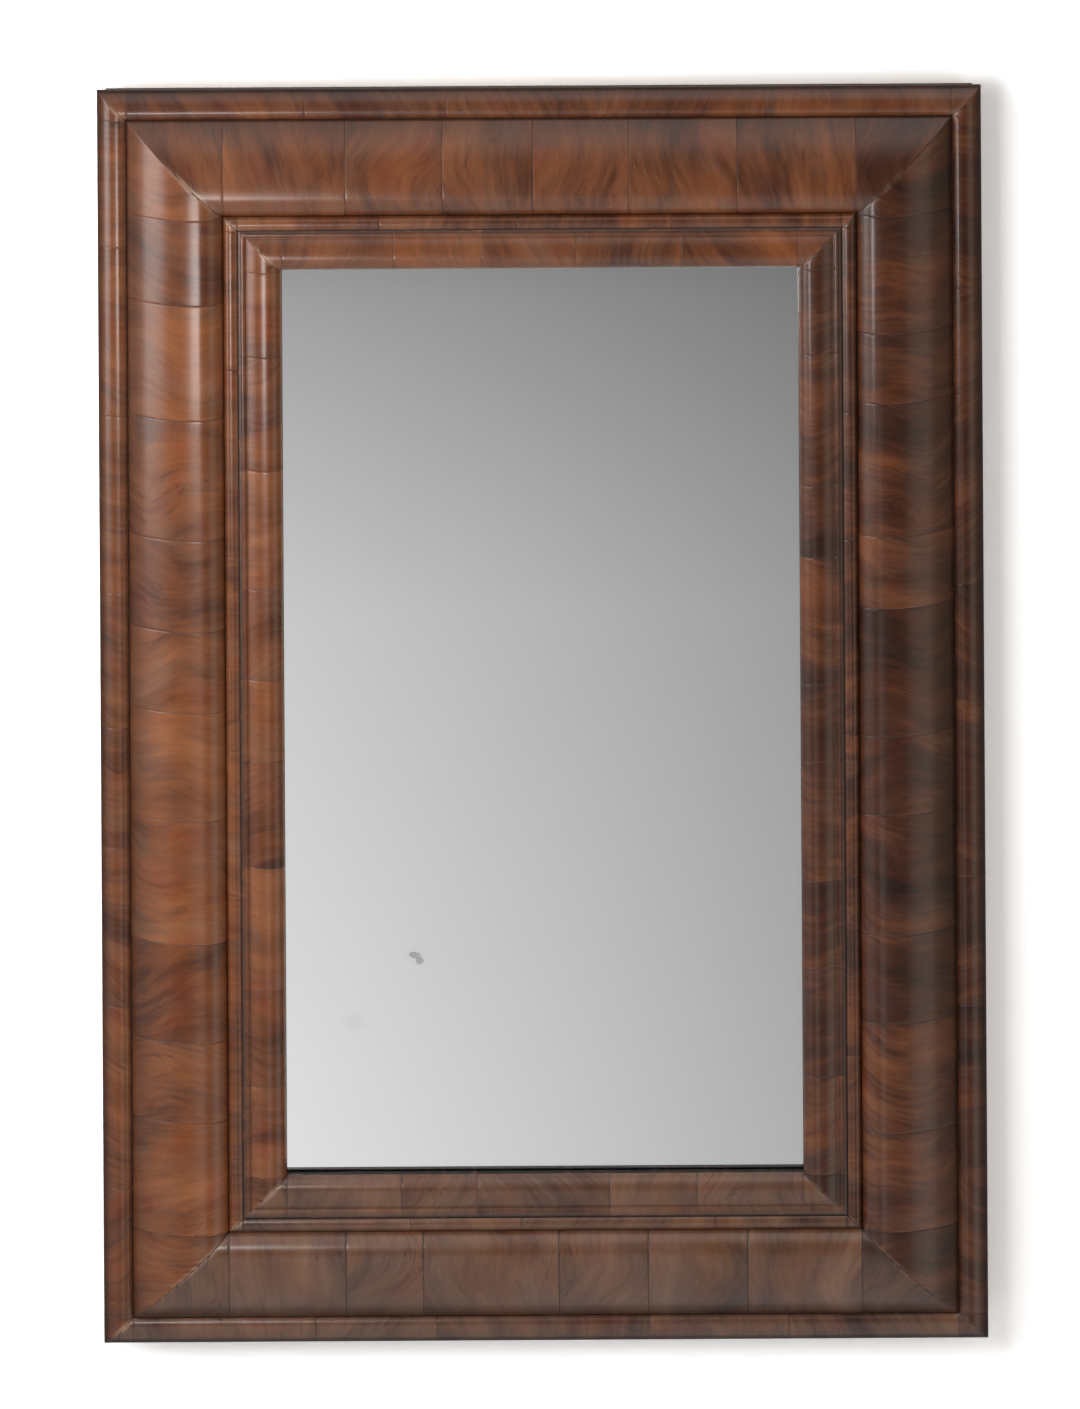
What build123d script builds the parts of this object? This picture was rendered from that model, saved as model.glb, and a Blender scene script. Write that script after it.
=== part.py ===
"""Wall mirror in a cross-grain walnut cushion frame, in millimetres.

X runs along the width, Z up, and the front faces -Y. The origin is on the wall, at the middle of
the back. A point of a moulding is given as (across, above): how far it lies inside the frame's
outer edge, and how far it stands off the wall.
"""

from build123d import *
import math
import os

# Frame, outer edge to outer edge
FRAME_WIDTH = 610
FRAME_HEIGHT = 914

# Widths of the four bands of moulding, from the outer edge inward
OUTER_BEAD_WIDTH = 20
CUSHION_WIDTH = 66.5
INNER_BEAD_WIDTH = 10
SIGHT_WIDTH = 30.5

# Layers from the wall to the carcass face
BACKBOARD_THICKNESS = 7
CARCASS_THICKNESS = 20

# Outer bead, heights over the carcass face
BEAD_EDGE_HEIGHT = 2
BEAD_CREST_HEIGHT = 11
BEAD_CREST_ACROSS = 13.5
BEAD_QUIRK_HEIGHT = 7.6

# Cushion, heights over the carcass face
CUSHION_OUTER_FOOT = 7.6
CUSHION_INNER_FOOT = 19.5
CUSHION_CREST_HEIGHT = 30.4
CUSHION_CREST_ACROSS = 49
VENEER_THICKNESS = 2
VENEER_OUTER_EDGE = 3
VENEER_INNER_EDGE = 4.5

# Sight ground over the carcass face, then what stands on it
SIGHT_GROUND_THICKNESS = 11
INNER_BEAD_OUTER_HEIGHT = 8.5
INNER_BEAD_CREST_HEIGHT = 13
INNER_BEAD_INNER_HEIGHT = 10.8
SIGHT_FILLET_WIDTH = 5
SIGHT_FILLET_HEIGHT = 11.3
SIGHT_QUIRK_WIDTH = 1.5
SIGHT_QUIRK_HEIGHT = 10.1
SIGHT_CREST_ACROSS = 19
SIGHT_CREST_HEIGHT = 14.5
SIGHT_LIP_HEIGHT = 6

# Carcass
CARCASS_SETBACK = 6
PEG_DIAMETER = 8

# Plate and what holds it
PLATE_THICKNESS = 3
SILVERING_THICKNESS = 0.25
PLATE_LAP = 8
REBATE_DEPTH = 10
BLOCK_LENGTH = 40
BLOCK_WIDTH = 9
BLOCK_HEIGHT = 13
BLOCK_PITCH = 170

# Backboard and its nails
BACKBOARD_LAP = 27
BOARD_GAP = 1
BOARD_NAMES = ("backboard_lower", "backboard_middle", "backboard_upper")
NAIL_LENGTH = 20
NAIL_SHANK_DIAMETER = 1.8
NAIL_HEAD_DIAMETER = 5
NAIL_HEAD_THICKNESS = 1
NAIL_HEAD_SINK = 0.3
NAIL_INSET = 25
RAIL_NAIL_SPREAD = 150

# Cross-grain sections: usual length of one piece in each band, and how uneven the joints are
CUSHION_SECTION = 74
SIGHT_SECTION = 72
OUTER_BEAD_SECTION = 104
INNER_BEAD_SECTION = 118
SECTION_UNEVENNESS = 0.16

# Strap hangers and their rings
HANGER_ABOVE_CENTRE = 230
HANGER_ACROSS = 48
STRAP_WIDTH = 12
STRAP_LENGTH = 62
STRAP_THICKNESS = 1.5
EYE_RADIUS = 3.3
RING_WIRE_DIAMETER = 3
RING_BAR_HALF = 7
RING_SHOULDER_RADIUS = 4
RING_LEG_LENGTH = 3
SCREW_FROM_EYE = 29
SCREW_PITCH = 22
SCREW_SHANK_DIAMETER = 3.5
SCREW_HEAD_DIAMETER = 7
SCREW_LENGTH = 16
SCREW_SLOT_WIDTH = 0.8
SCREW_SLOT_DEPTH = 0.6

# Fits and clearances
HAIRLINE = 0.15
GLUE_LINE = 0.1
PLATE_CLEARANCE = 0.1
PILOT_CLEARANCE = 0.05
PEG_CLEARANCE = 0.05
EYE_CLEARANCE = 0.06

# Worked out from the sizes above
CUSHION_START = OUTER_BEAD_WIDTH
INNER_BEAD_START = CUSHION_START + CUSHION_WIDTH
SIGHT_START = INNER_BEAD_START + INNER_BEAD_WIDTH
SIGHT_EDGE = SIGHT_START + SIGHT_WIDTH
REBATE_EDGE = SIGHT_EDGE - REBATE_DEPTH
PLATE_EDGE = SIGHT_EDGE - PLATE_LAP
BOARD_EDGE = REBATE_EDGE - BACKBOARD_LAP
CARCASS_BACK = BACKBOARD_THICKNESS
CARCASS_FACE = CARCASS_BACK + CARCASS_THICKNESS
GROUND_FACE = CARCASS_FACE + SIGHT_GROUND_THICKNESS
PLATE_BACK = GROUND_FACE - PLATE_THICKNESS
SILVERING_BACK = PLATE_BACK - SILVERING_THICKNESS

SIDES = ("bottom", "left", "top", "right")


def side_turn(side):
    """Degrees that turn the bottom rail about Y to this side of the frame."""
    return 90 * SIDES.index(side)


def side_length(side):
    return FRAME_WIDTH if side in ("bottom", "top") else FRAME_HEIGHT


def side_plane(side):
    """Cross-section plane in the middle of a side: across inward, above outward, Z along it."""
    turn = side_turn(side)
    reach = (FRAME_HEIGHT if side in ("bottom", "top") else FRAME_WIDTH) / 2
    return Plane(
        origin=Vector(0, 0, -reach).rotate(Axis.Y, turn),
        x_dir=Vector(0, 0, 1).rotate(Axis.Y, turn),
        z_dir=Vector(1, 0, 0).rotate(Axis.Y, turn),
    )


def crest_arc(start, end):
    """Arc between a foot and a crest, level at the crest; the higher point is the crest."""
    crest, foot = (end, start) if end[1] > start[1] else (start, end)
    run = crest[0] - foot[0]
    rise = crest[1] - foot[1]
    radius = (run**2 + rise**2) / (2 * rise)
    half_turn = math.atan2(rise, abs(run))
    middle = (
        crest[0] - math.copysign(radius * math.sin(half_turn), run),
        crest[1] - radius * (1 - math.cos(half_turn)),
    )
    return ThreePointArc(start, middle, end)


def outer_bead_profile():
    edge = (0, CARCASS_FACE + BEAD_EDGE_HEIGHT)
    crest = (BEAD_CREST_ACROSS, CARCASS_FACE + BEAD_CREST_HEIGHT)
    quirk = (CUSHION_START, CARCASS_FACE + BEAD_QUIRK_HEIGHT)
    back = Polyline(quirk, (CUSHION_START, CARCASS_FACE), (0, CARCASS_FACE), edge)
    return make_face([crest_arc(edge, crest), crest_arc(crest, quirk), *back.edges()])


def cushion_curve(sink):
    """Feet and crest of the cushion's curve, let down by three depths below the polished face."""
    outer_sink, crest_sink, inner_sink = sink
    outer_foot = (CUSHION_START, CARCASS_FACE + CUSHION_OUTER_FOOT - outer_sink)
    crest = (
        CUSHION_START + CUSHION_CREST_ACROSS,
        CARCASS_FACE + CUSHION_CREST_HEIGHT - crest_sink,
    )
    inner_foot = (INNER_BEAD_START, CARCASS_FACE + CUSHION_INNER_FOOT - inner_sink)
    return outer_foot, crest, inner_foot


def cushion_veneer_profile():
    outer, crest, inner = cushion_curve((0, 0, 0))
    under_outer, under_crest, under_inner = cushion_curve(
        (VENEER_OUTER_EDGE, VENEER_THICKNESS, VENEER_INNER_EDGE)
    )
    return make_face(
        [
            crest_arc(outer, crest),
            crest_arc(crest, inner),
            Line(inner, under_inner),
            crest_arc(under_inner, under_crest),
            crest_arc(under_crest, under_outer),
            Line(under_outer, outer),
        ]
    )


def cushion_core_profile():
    outer, crest, inner = cushion_curve(
        (
            VENEER_OUTER_EDGE + GLUE_LINE,
            VENEER_THICKNESS + GLUE_LINE,
            VENEER_INNER_EDGE + GLUE_LINE,
        )
    )
    seat = Polyline(inner, (INNER_BEAD_START, CARCASS_FACE), (CUSHION_START, CARCASS_FACE), outer)
    return make_face([crest_arc(outer, crest), crest_arc(crest, inner), *seat.edges()])


def strip_profile(start, end, low, high):
    """Rectangle between two distances across and two heights."""
    return make_face(Polyline((start, low), (end, low), (end, high), (start, high), close=True))


def inner_bead_profile():
    outer = (INNER_BEAD_START, GROUND_FACE + INNER_BEAD_OUTER_HEIGHT)
    crest = (INNER_BEAD_START + INNER_BEAD_WIDTH / 2, GROUND_FACE + INNER_BEAD_CREST_HEIGHT)
    inner = (SIGHT_START, GROUND_FACE + INNER_BEAD_INNER_HEIGHT)
    seat = Polyline(inner, (SIGHT_START, GROUND_FACE), (INNER_BEAD_START, GROUND_FACE), outer)
    return make_face([crest_arc(outer, crest), crest_arc(crest, inner), *seat.edges()])


def sight_moulding_profile():
    fillet_end = SIGHT_START + SIGHT_FILLET_WIDTH
    fillet_height = GROUND_FACE + SIGHT_FILLET_HEIGHT
    quirk_end = (fillet_end + SIGHT_QUIRK_WIDTH, GROUND_FACE + SIGHT_QUIRK_HEIGHT)
    crest = (SIGHT_START + SIGHT_CREST_ACROSS, GROUND_FACE + SIGHT_CREST_HEIGHT)
    lip = (SIGHT_EDGE, GROUND_FACE + SIGHT_LIP_HEIGHT)
    seat = Polyline(
        lip,
        (SIGHT_EDGE, GROUND_FACE),
        (SIGHT_START, GROUND_FACE),
        (SIGHT_START, fillet_height),
        (fillet_end, fillet_height),
        (fillet_end, quirk_end[1]),
        quirk_end,
    )
    return make_face([crest_arc(quirk_end, crest), crest_arc(crest, lip), *seat.edges()])


def mitred(solid, side, gap):
    """Cut a length of moulding to the frame's two 45 degree mitres on its side."""
    plane = side_plane(side)
    for end in (-1, 1):
        corner = plane.from_local_coords((0, 0, end * (side_length(side) / 2 - gap)))
        outward = plane.from_local_coords((1, 0, end)) - plane.from_local_coords((0, 0, 0))
        solid = split(solid, bisect_by=Plane(origin=corner, z_dir=outward), keep=Keep.BOTTOM)
    return solid


def whole_rail(profile, side):
    """One mitred length of a profile, in one piece."""
    face = side_plane(side) * profile
    return mitred(extrude(face, amount=side_length(side) / 2, both=True), side, 0)


def joint_places(inner_edge, side, section):
    """Where the cross-grain joints lie along a side: one at each inner corner, uneven between."""
    span = side_length(side) - 2 * inner_edge
    count = max(1, round(span / section))
    pitch = span / count
    phase = 1 + SIDES.index(side)
    places = [-span / 2]
    for number in range(1, count):
        shift = SECTION_UNEVENNESS * pitch * math.sin(2.4 * number * phase)
        places.append(-span / 2 + pitch * number + shift)
    return [*places, span / 2]


def sectioned_rail(profile, inner_edge, side, section):
    """A profile laid in short cross-grain pieces, hairline joints between, mitred at the ends."""
    half = side_length(side) / 2
    cuts = [-half, *joint_places(inner_edge, side, section), half]
    pieces = []
    for start, end in zip(cuts, cuts[1:]):
        face = side_plane(side).offset(start + HAIRLINE / 2) * profile
        piece = extrude(face, amount=end - start - HAIRLINE)
        if start == -half or end == half:
            piece = mitred(piece, side, HAIRLINE)
        pieces += piece.solids()
    return Compound(pieces)


def cylinder(radius, start, direction, length):
    """Round bar or hole from a start point along a direction."""
    disc = Plane(origin=start, z_dir=direction) * Circle(radius)
    return extrude(disc, amount=length)


def inward(x, z, depth):
    """Point at a depth off the wall."""
    return (x, -depth, z)


FRONTWARD = (0, -1, 0)


def carcass_corners():
    across = (CARCASS_SETBACK + REBATE_EDGE) / 2
    x = FRAME_WIDTH / 2 - across
    z = FRAME_HEIGHT / 2 - across
    return [(sx * x, sz * z) for sx in (-1, 1) for sz in (-1, 1)]


def peg_holes(clearance):
    radius = PEG_DIAMETER / 2 + clearance
    return [
        cylinder(radius, inward(x, z, CARCASS_BACK), FRONTWARD, CARCASS_THICKNESS)
        for x, z in carcass_corners()
    ]


def slab(x_size, z_size, low, high, x=0, z=0):
    """Board of a size, standing between two depths off the wall, about a centre."""
    return Pos(x, -(low + high) / 2, z) * Box(x_size, high - low, z_size)


def backboard_places():
    """Middle height and length of each board, from the lowest up."""
    whole = FRAME_HEIGHT - 2 * BOARD_EDGE
    count = len(BOARD_NAMES)
    board = (whole - (count - 1) * BOARD_GAP) / count
    lowest = (board - whole) / 2
    return [(lowest + number * (board + BOARD_GAP), board) for number in range(count)]


def nail_places():
    """Two nails at each end of each board, and three along the top and bottom edges."""
    x = FRAME_WIDTH / 2 - (REBATE_EDGE + BOARD_EDGE) / 2
    z = FRAME_HEIGHT / 2 - (REBATE_EDGE + BOARD_EDGE) / 2
    side_nails = [
        (sx * x, middle + sz * (board / 2 - NAIL_INSET))
        for middle, board in backboard_places()
        for sx in (-1, 1)
        for sz in (-1, 1)
    ]
    rail_nails = [(offset * RAIL_NAIL_SPREAD, sz * z) for offset in (-1, 0, 1) for sz in (-1, 1)]
    return side_nails + rail_nails


def nail(x, z, clearance):
    """Flat-headed nail driven from the back, or with a clearance the hole that it sits in."""
    head = cylinder(
        NAIL_HEAD_DIAMETER / 2 + clearance,
        inward(x, z, 0 if clearance else NAIL_HEAD_SINK),
        FRONTWARD,
        NAIL_HEAD_THICKNESS + (NAIL_HEAD_SINK if clearance else 0),
    )
    shank = cylinder(
        NAIL_SHANK_DIAMETER / 2 + clearance,
        inward(x, z, NAIL_HEAD_SINK + NAIL_HEAD_THICKNESS),
        FRONTWARD,
        NAIL_LENGTH - NAIL_HEAD_THICKNESS + clearance,
    )
    return head + shank


def hanger_places():
    x = FRAME_WIDTH / 2 - HANGER_ACROSS
    return {"left": (-x, HANGER_ABOVE_CENTRE), "right": (x, HANGER_ABOVE_CENTRE)}


def screw_heights(eye_z):
    return [eye_z - SCREW_FROM_EYE - number * SCREW_PITCH for number in (0, 1)]


def hanger_screw(x, z, clearance):
    """Countersunk screw flush with the strap, or with a clearance the hole that it sits in."""
    face = CARCASS_BACK - STRAP_THICKNESS
    cone_height = (SCREW_HEAD_DIAMETER - SCREW_SHANK_DIAMETER) / 2
    head = Plane(origin=inward(x, z, face + cone_height / 2), z_dir=FRONTWARD) * Cone(
        SCREW_HEAD_DIAMETER / 2 + clearance,
        SCREW_SHANK_DIAMETER / 2 + clearance,
        cone_height,
    )
    shank = cylinder(
        SCREW_SHANK_DIAMETER / 2 + clearance,
        inward(x, z, face + cone_height),
        FRONTWARD,
        SCREW_LENGTH - cone_height + clearance,
    )
    return head + shank


def slotted_screw(x, z):
    slot = slab(
        SCREW_HEAD_DIAMETER,
        SCREW_SLOT_WIDTH,
        CARCASS_BACK - STRAP_THICKNESS,
        CARCASS_BACK - STRAP_THICKNESS + SCREW_SLOT_DEPTH,
        x,
        z,
    )
    return hanger_screw(x, z, 0) - slot


def eye_depth():
    """How far the ring's hinge line stands off the wall."""
    return CARCASS_BACK - EYE_RADIUS


def strap(x, z):
    """Strap with its end rolled into an eye for the ring's bar."""
    plate = slab(
        STRAP_WIDTH,
        STRAP_LENGTH,
        CARCASS_BACK - STRAP_THICKNESS,
        CARCASS_BACK,
        x,
        z - STRAP_LENGTH / 2,
    )
    start = inward(x - STRAP_WIDTH / 2, z, eye_depth())
    eye = cylinder(EYE_RADIUS, start, (1, 0, 0), STRAP_WIDTH)
    bore = cylinder(RING_WIRE_DIAMETER / 2 + EYE_CLEARANCE, start, (1, 0, 0), STRAP_WIDTH)
    body = plate + eye - bore
    for height in screw_heights(z):
        body -= hanger_screw(x, height, PILOT_CLEARANCE)
    return body


def ring(x, z):
    """Loose D ring: straight bar in the eye, two shoulders, short legs and a half-round bow."""
    bow_radius = RING_BAR_HALF + RING_SHOULDER_RADIUS
    leg_top = -RING_SHOULDER_RADIUS
    leg_end = leg_top - RING_LEG_LENGTH
    shoulder = RING_SHOULDER_RADIUS * (1 - math.sqrt(0.5))
    path = Wire(
        [
            Line((-RING_BAR_HALF, 0), (RING_BAR_HALF, 0)),
            ThreePointArc(
                (RING_BAR_HALF, 0),
                (bow_radius - shoulder, -shoulder),
                (bow_radius, leg_top),
            ),
            Line((bow_radius, leg_top), (bow_radius, leg_end)),
            ThreePointArc((bow_radius, leg_end), (0, leg_end - bow_radius), (-bow_radius, leg_end)),
            Line((-bow_radius, leg_end), (-bow_radius, leg_top)),
            ThreePointArc(
                (-bow_radius, leg_top),
                (shoulder - bow_radius, -shoulder),
                (-RING_BAR_HALF, 0),
            ),
        ]
    )
    wire = Plane(origin=(0, 0, 0), z_dir=(1, 0, 0)) * Circle(RING_WIRE_DIAMETER / 2)
    flat = sweep(wire, path=path)
    upright = Plane(origin=inward(x, z, eye_depth()), x_dir=(1, 0, 0), z_dir=FRONTWARD)
    return upright * flat


def carcass_stile(side):
    """Full-height board, halved to its rear half where the rails cross it."""
    sign = -1 if side == "left" else 1
    width = REBATE_EDGE - CARCASS_SETBACK
    x = sign * (FRAME_WIDTH - CARCASS_SETBACK - REBATE_EDGE) / 2
    height = FRAME_HEIGHT - 2 * CARCASS_SETBACK
    board = slab(width, height, CARCASS_BACK, CARCASS_FACE, x)
    lap = CARCASS_BACK + CARCASS_THICKNESS / 2
    for end in (-1, 1):
        z = end * (FRAME_HEIGHT - CARCASS_SETBACK - REBATE_EDGE) / 2
        board -= slab(width, width, lap, CARCASS_FACE, x, z)
    return bored(board)


def carcass_rail(side):
    """Full-width board, halved to its front half where the stiles cross it."""
    sign = 1 if side == "top" else -1
    width = REBATE_EDGE - CARCASS_SETBACK
    z = sign * (FRAME_HEIGHT - CARCASS_SETBACK - REBATE_EDGE) / 2
    length = FRAME_WIDTH - 2 * CARCASS_SETBACK
    board = slab(length, width, CARCASS_BACK, CARCASS_FACE, 0, z)
    lap = CARCASS_BACK + CARCASS_THICKNESS / 2
    for end in (-1, 1):
        x = end * (FRAME_WIDTH - CARCASS_SETBACK - REBATE_EDGE) / 2
        board -= slab(width, width, CARCASS_BACK, lap, x, z)
    return bored(board)


def bored(board):
    """Bore a board for every peg, nail and screw that reaches it."""
    box = board.bounding_box()
    tools = peg_holes(PEG_CLEARANCE)
    tools += [nail(x, z, PILOT_CLEARANCE) for x, z in nail_places()]
    for x, eye_z in hanger_places().values():
        tools += [hanger_screw(x, z, PILOT_CLEARANCE) for z in screw_heights(eye_z)]
    for tool in tools:
        centre = tool.center()
        if box.min.X < centre.X < box.max.X and box.min.Z < centre.Z < box.max.Z:
            board -= tool
    return board


def plate(low, high):
    x_size = FRAME_WIDTH - 2 * PLATE_EDGE
    z_size = FRAME_HEIGHT - 2 * PLATE_EDGE
    return slab(x_size, z_size, low, high)


def plate_blocks():
    """Softwood blocks glued to the rebate's wall, up to the back of the plate."""
    high = SILVERING_BACK - PLATE_CLEARANCE
    low = high - BLOCK_HEIGHT
    blocks = []
    for side in SIDES:
        plane = side_plane(side)
        inner_length = side_length(side) - 2 * REBATE_EDGE
        count = max(2, round(inner_length / BLOCK_PITCH))
        pitch = inner_length / count
        profile = make_face(
            Polyline(
                (REBATE_EDGE, low),
                (REBATE_EDGE + BLOCK_WIDTH / 2, low),
                (REBATE_EDGE + BLOCK_WIDTH, high),
                (REBATE_EDGE, high),
                close=True,
            )
        )
        for number in range(count):
            along = (number + 0.5) * pitch - inner_length / 2
            face = plane.offset(along - BLOCK_LENGTH / 2) * profile
            blocks += extrude(face, amount=BLOCK_LENGTH).solids()
    return Compound(blocks)


def backboards():
    x_size = FRAME_WIDTH - 2 * BOARD_EDGE
    boards = {}
    for name, (middle, length) in zip(BOARD_NAMES, backboard_places()):
        board = slab(x_size, length, 0, BACKBOARD_THICKNESS, 0, middle)
        for x, z in nail_places():
            if abs(z - middle) < length / 2:
                board -= nail(x, z, PILOT_CLEARANCE)
        boards[name] = board
    return boards


def build():
    nodes = {}
    for side in ("left", "right"):
        nodes[f"carcass_stile_{side}"] = carcass_stile(side)
    for side in ("top", "bottom"):
        nodes[f"carcass_rail_{side}"] = carcass_rail(side)
    nodes["corner_pegs"] = Compound([peg.solid() for peg in peg_holes(0)])

    ground = strip_profile(INNER_BEAD_START, REBATE_EDGE, CARCASS_FACE, GROUND_FACE)
    for side in SIDES:
        nodes[f"cushion_core_{side}"] = whole_rail(cushion_core_profile(), side)
        nodes[f"sight_ground_{side}"] = whole_rail(ground, side)
        nodes[f"outer_bead_{side}"] = sectioned_rail(
            outer_bead_profile(), CUSHION_START, side, OUTER_BEAD_SECTION
        )
        nodes[f"cushion_veneer_{side}"] = sectioned_rail(
            cushion_veneer_profile(), INNER_BEAD_START, side, CUSHION_SECTION
        )
        nodes[f"inner_bead_{side}"] = sectioned_rail(
            inner_bead_profile(), SIGHT_START, side, INNER_BEAD_SECTION
        )
        nodes[f"sight_moulding_{side}"] = sectioned_rail(
            sight_moulding_profile(), SIGHT_EDGE, side, SIGHT_SECTION
        )

    nodes["mirror_glass"] = plate(PLATE_BACK, GROUND_FACE)
    nodes["silvering"] = plate(SILVERING_BACK, PLATE_BACK)
    nodes["plate_blocks"] = plate_blocks()
    nodes.update(backboards())
    nodes["backboard_nails"] = Compound([nail(x, z, 0).solid() for x, z in nail_places()])

    for side, (x, z) in hanger_places().items():
        nodes[f"hanger_strap_{side}"] = strap(x, z)
        nodes[f"hanger_ring_{side}"] = ring(x, z)
        screws = [slotted_screw(x, height).solid() for height in screw_heights(z)]
        nodes[f"hanger_screws_{side}"] = Compound(screws)
    return nodes


os.makedirs("parts", exist_ok=True)
for name, shape in build().items():
    export_step(shape, f"parts/{name}.step")
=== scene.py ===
import math

import bpy
import numpy as np
from mathutils import Matrix, Vector


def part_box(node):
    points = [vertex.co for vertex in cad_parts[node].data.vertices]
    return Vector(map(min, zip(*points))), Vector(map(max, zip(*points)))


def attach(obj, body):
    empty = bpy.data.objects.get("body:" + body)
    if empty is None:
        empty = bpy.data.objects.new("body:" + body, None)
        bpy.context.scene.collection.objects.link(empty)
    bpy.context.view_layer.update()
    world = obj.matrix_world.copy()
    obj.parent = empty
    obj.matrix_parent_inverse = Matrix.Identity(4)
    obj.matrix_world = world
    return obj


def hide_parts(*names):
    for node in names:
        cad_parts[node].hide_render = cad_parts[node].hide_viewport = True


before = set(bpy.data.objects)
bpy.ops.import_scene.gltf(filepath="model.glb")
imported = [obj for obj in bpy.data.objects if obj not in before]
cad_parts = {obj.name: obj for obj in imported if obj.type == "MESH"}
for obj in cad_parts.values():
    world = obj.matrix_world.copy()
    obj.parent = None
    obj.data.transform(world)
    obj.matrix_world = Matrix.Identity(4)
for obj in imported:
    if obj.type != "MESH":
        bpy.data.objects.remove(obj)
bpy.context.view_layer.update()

bl_info = {
    "name": "Cushion Frame Mirror",
    "version": (1, 0, 0),
    "blender": (4, 5, 0),
    "location": "View3D > Sidebar > Mirror",
    "description": "Wall mirror in a cross-grain walnut cushion frame, with its back and hangers",
    "category": "Object",
}

MM = 0.001
SIDES = ("bottom", "left", "top", "right")
FRAME_BODY = "frame"

# Half the width and half the height of the frame, outside the outer beads
HALF_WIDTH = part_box("outer_bead_right")[1].x
HALF_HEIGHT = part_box("outer_bead_top")[1].z

# Half the width and half the height of the carcass behind them
CARCASS_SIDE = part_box("carcass_stile_right")[1].x
CARCASS_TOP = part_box("carcass_rail_top")[1].z


def band(node_stem):
    """Inner edge, base and crest of one band of moulding, read off its lower rail."""
    low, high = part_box(f"{node_stem}_bottom")
    return HALF_HEIGHT + high.z, -high.y, -low.y


BEAD_END, CARCASS_FACE, BEAD_CREST = band("outer_bead")
CUSHION_END, VENEER_LOW, CUSHION_CREST = band("cushion_veneer")
INNER_BEAD_END, _, INNER_BEAD_CREST = band("inner_bead")
SIGHT_END, GROUND_FACE, SIGHT_CREST = band("sight_moulding")

# How dark painted shade, with some old dirt, lies on each band's outer foot, and how far in it
# reaches
OUTER_BEAD_SHADE_AND_SOIL = (1.0, 8 * MM)
CUSHION_SHADE_AND_SOIL = (0.7, 16 * MM)
INNER_BEAD_SHADE_AND_SOIL = (0.2, 2 * MM)
SIGHT_SHADE_AND_SOIL = (0.1, 3 * MM)


def length_setting(name, description, default, precision=4):
    return bpy.props.FloatProperty(
        name=name, description=description, default=default, unit="LENGTH", precision=precision)


def share_setting(name, description, default):
    return bpy.props.FloatProperty(
        name=name, description=description, default=default, subtype="FACTOR")


def power_setting(name, description, default):
    return bpy.props.FloatProperty(
        name=name, description=description, default=default, unit="POWER")


def colour_setting(name, description, default):
    return bpy.props.FloatVectorProperty(
        name=name, description=description, default=default, subtype="COLOR")


class MouldingSizes(bpy.types.PropertyGroup):
    """Heights and turning points of the four bands of moulding, in metres."""

    bead_edge: length_setting(
        "Bead edge", "Straight side of the outer bead over the carcass", 0.002)
    bead_crest_across: length_setting(
        "Bead crest", "From the outer edge to the crest of the outer bead", 0.0135)
    quirk_height: length_setting(
        "Outer quirk", "Height over the carcass where bead and cushion meet", 0.0076)
    cushion_inner_foot: length_setting(
        "Cushion inner foot", "Height over the carcass of the cushion's inner foot", 0.0195)
    cushion_crest_across: length_setting(
        "Cushion crest", "From the cushion's outer foot to its crest", 0.049)
    veneer: length_setting("Veneer", "Thickness of the walnut at the crest", 0.002)
    inner_bead_outer: length_setting(
        "Inner bead outer foot", "Height over the sight ground", 0.0085)
    inner_bead_inner: length_setting(
        "Inner bead inner foot", "Height over the sight ground", 0.0108)
    fillet_width: length_setting("Sight fillet width", "Flat fillet beside the inner bead", 0.005)
    fillet_height: length_setting(
        "Sight fillet height", "Height of the fillet over the sight ground", 0.0113)
    sight_quirk_width: length_setting(
        "Sight quirk width", "Groove between the fillet and the sight curve", 0.0015)
    sight_quirk_height: length_setting(
        "Sight quirk height", "Height of the groove over the sight ground", 0.0101)
    sight_crest_across: length_setting(
        "Sight crest", "From the inner bead to the crest of the sight curve", 0.019)
    sight_lip: length_setting("Sight lip", "Height of the lip that laps over the plate", 0.006)
    hairline: length_setting(
        "Hairline", "Width of the joint between two sections of walnut", 0.00015, precision=5)
    outer_bead_section: length_setting(
        "Outer bead section", "Usual length of one section of the outer bead", 0.104)
    cushion_section: length_setting(
        "Cushion section", "Usual length of one section of cushion veneer", 0.074)
    inner_bead_section: length_setting(
        "Inner bead section", "Usual length of one section of the inner bead", 0.118)
    sight_section: length_setting(
        "Sight section", "Usual length of one section of the sight moulding", 0.072)
    section_unevenness: share_setting(
        "Unevenness", "How far a joint strays from an even spacing", 0.16)


class WalnutColours(bpy.types.PropertyGroup):
    """Colours of the old walnut."""

    dark: colour_setting("Dark figure", "Darkest streaks of the figure", (0.030, 0.011, 0.006))
    maroon: colour_setting("Maroon brown", "Shaded heartwood", (0.085, 0.027, 0.012))
    red_brown: colour_setting("Red brown", "Main colour of the walnut", (0.200, 0.066, 0.024))
    golden: colour_setting("Golden brown", "Faded, lighter walnut", (0.360, 0.128, 0.044))
    orange_shift: colour_setting(
        "Orange shift", "Multiplies the walnut in its orange patches", (1.0, 0.86, 0.62))
    dull_shift: colour_setting(
        "Dull shift", "Multiplies the walnut in its dull, greyish patches", (0.75, 1.12, 1.9))
    red_shift: colour_setting(
        "Red shift", "Multiplies the walnut in its maroon patches", (0.95, 0.70, 0.80))
    line_shift: colour_setting(
        "Line shift", "Multiplies the walnut in its thin dark lines", (0.42, 0.38, 0.38))
    # Painted shade as well as old dirt: darkens each band's outer foot, the outer bead's outer edge
    # the most
    shade_and_soil_shift: colour_setting(
        "Soil shift", "Multiplies the walnut where old dirt lies on it", (0.32, 0.30, 0.28))
    # Wear and a painted highlight: the pale laid on the crests by the mitres, stronger on the left
    worn_and_highlight: colour_setting("Worn edge", "Wood rubbed pale on arrises and mitres", (0.46, 0.29, 0.20))
    dirt: colour_setting("Dirt", "Old wax and dust in the quirks", (0.042, 0.024, 0.018))


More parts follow.
